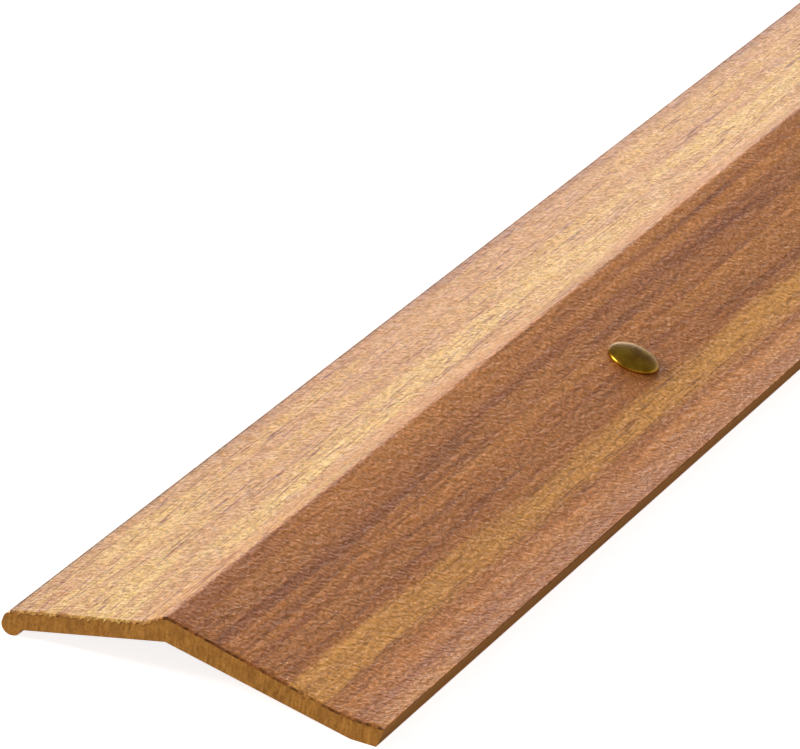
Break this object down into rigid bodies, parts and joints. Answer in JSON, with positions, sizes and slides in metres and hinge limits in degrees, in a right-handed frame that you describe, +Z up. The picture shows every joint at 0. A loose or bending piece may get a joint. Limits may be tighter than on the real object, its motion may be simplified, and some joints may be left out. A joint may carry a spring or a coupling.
{
  "type": "threshold strip",
  "caption": "Nail-down threshold strip for a carpet edge: ridged metal profile with a bead and a toe, wood-grain film on top and ring-shank nails through the floor flange.",
  "frame": {"origin": "middle of the narrow flat under the toe, at half the strip's length, on the floor plane", "axes": "+X along the strip, +Y from the toe towards the carpet, +Z up from the floor"},
  "size_m": [0.9144, 0.0349, 0.033],
  "materials": {
    "gold_aluminium": "satin gold anodised",
    "woodgrain_film": "printed wood grain with a fine embossed relief, satin",
    "brass": "bright brass with darker antique tone"
  },
  "bodies": {
    "strip": {"profile": "gold_aluminium", "woodgrain_film": "woodgrain_film"},
    "nail_1_body": {"nail_1": "brass"},
    "nail_2_body": {"nail_2": "brass"},
    "nail_3_body": {"nail_3": "brass"},
    "nail_4_body": {"nail_4": "brass"},
    "nail_5_body": {"nail_5": "brass"},
    "nail_6_body": {"nail_6": "brass"}
  },
  "joints": [
    {"name": "nail_1_draw", "type": "slide", "parent": "strip", "child": "nail_1_body", "axis": [0, -0.2334, 0.9724], "range_m": [0, 0.034]},
    {"name": "nail_2_draw", "type": "slide", "parent": "strip", "child": "nail_2_body", "axis": [0, -0.2334, 0.9724], "range_m": [0, 0.034]},
    {"name": "nail_3_draw", "type": "slide", "parent": "strip", "child": "nail_3_body", "axis": [0, -0.2334, 0.9724], "range_m": [0, 0.034]},
    {"name": "nail_4_draw", "type": "slide", "parent": "strip", "child": "nail_4_body", "axis": [0, -0.2334, 0.9724], "range_m": [0, 0.034]},
    {"name": "nail_5_draw", "type": "slide", "parent": "strip", "child": "nail_5_body", "axis": [0, -0.2334, 0.9724], "range_m": [0, 0.034]},
    {"name": "nail_6_draw", "type": "slide", "parent": "strip", "child": "nail_6_body", "axis": [0, -0.2334, 0.9724], "range_m": [0, 0.034]}
  ]
}
